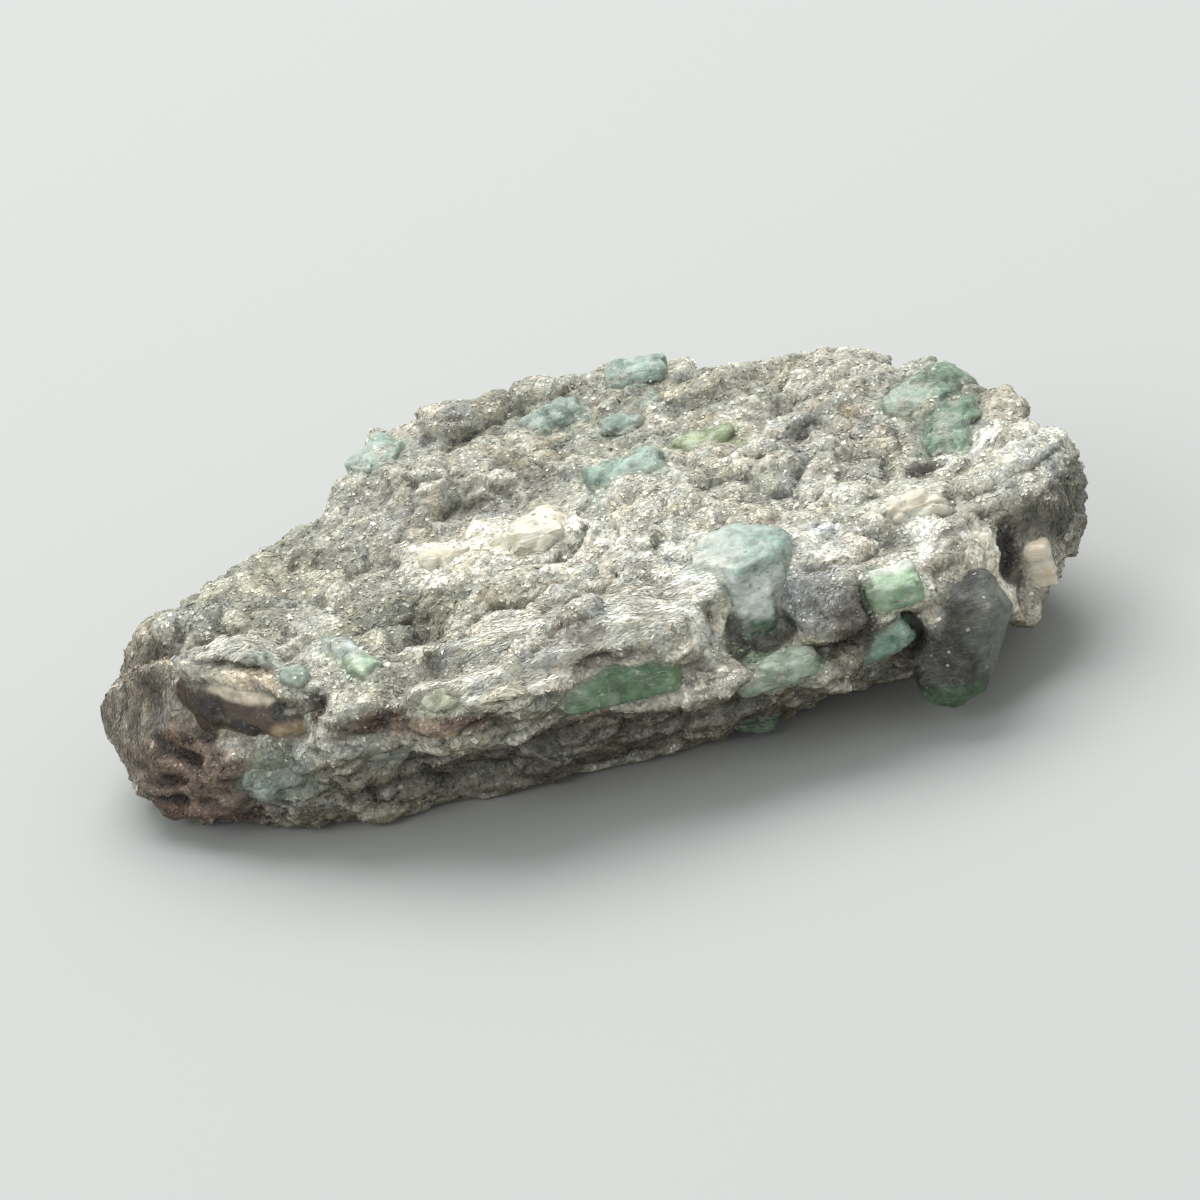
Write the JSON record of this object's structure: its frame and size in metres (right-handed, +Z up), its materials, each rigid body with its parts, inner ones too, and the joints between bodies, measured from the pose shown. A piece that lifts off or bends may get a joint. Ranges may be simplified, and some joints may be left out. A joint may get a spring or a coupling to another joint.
{
  "type": "emerald in matrix specimen",
  "caption": "Palm-sized chunk of silvery mica schist with green beryl crystals, a smoky quartz lens and pale feldspar grown in it; rests on a flat parting face.",
  "frame": {"origin": "middle of the chunk's footprint, on the plane that it rests on", "axes": "+X along the chunk towards its thick right end, +Y away from the front ridge with the large crystals, +Z up, across the layers"},
  "size_m": [0.0624, 0.0416, 0.0152],
  "materials": {
    "mica_schist": "silvery grey-brown mica felt, glittering, rough",
    "emerald_bright": "glassy green, included, slightly translucent",
    "emerald_pale": "pale blue-green, frosted with fine mica",
    "emerald_mint": "mint green, waxy, whitish upper edge",
    "emerald_teal": "muted teal green, dusty",
    "emerald_olive": "yellow-green, dull",
    "beryl_dark": "dark grey-green prism face with a thin mica coat",
    "feldspar": "cream white cleavage faces, pearly",
    "quartz": "smoky brown, greasy lustre"
  },
  "bodies": {
    "root": {"emerald_front_lens": "emerald_bright", "emerald_ridge_prism": "emerald_pale", "emerald_mint_block": "emerald_mint", "emerald_teal_piece": "emerald_teal", "emerald_dark_prism": "beryl_dark", "emerald_ledge_sliver": "emerald_pale", "emerald_underside_end": "emerald_bright", "emerald_back_cluster": "emerald_bright", "emerald_mid_patch": "emerald_mint", "emerald_back_left": "emerald_teal", "emerald_back_edge": "emerald_pale", "emerald_olive_flat": "emerald_olive", "emerald_plateau_grain": "emerald_teal", "emerald_corner": "emerald_pale", "emerald_leaf": "emerald_mint", "emerald_brow_grain": "emerald_teal", "emerald_crest_grain": "emerald_olive", "emerald_left_band": "emerald_teal", "emerald_lower_left": "emerald_teal", "feldspar_mid_plate": "feldspar", "feldspar_left_plate": "feldspar", "feldspar_right_plate": "feldspar", "feldspar_recess_wedge": "feldspar", "quartz_lens": "quartz", "schist_matrix": "mica_schist"}
  },
  "joints": []
}
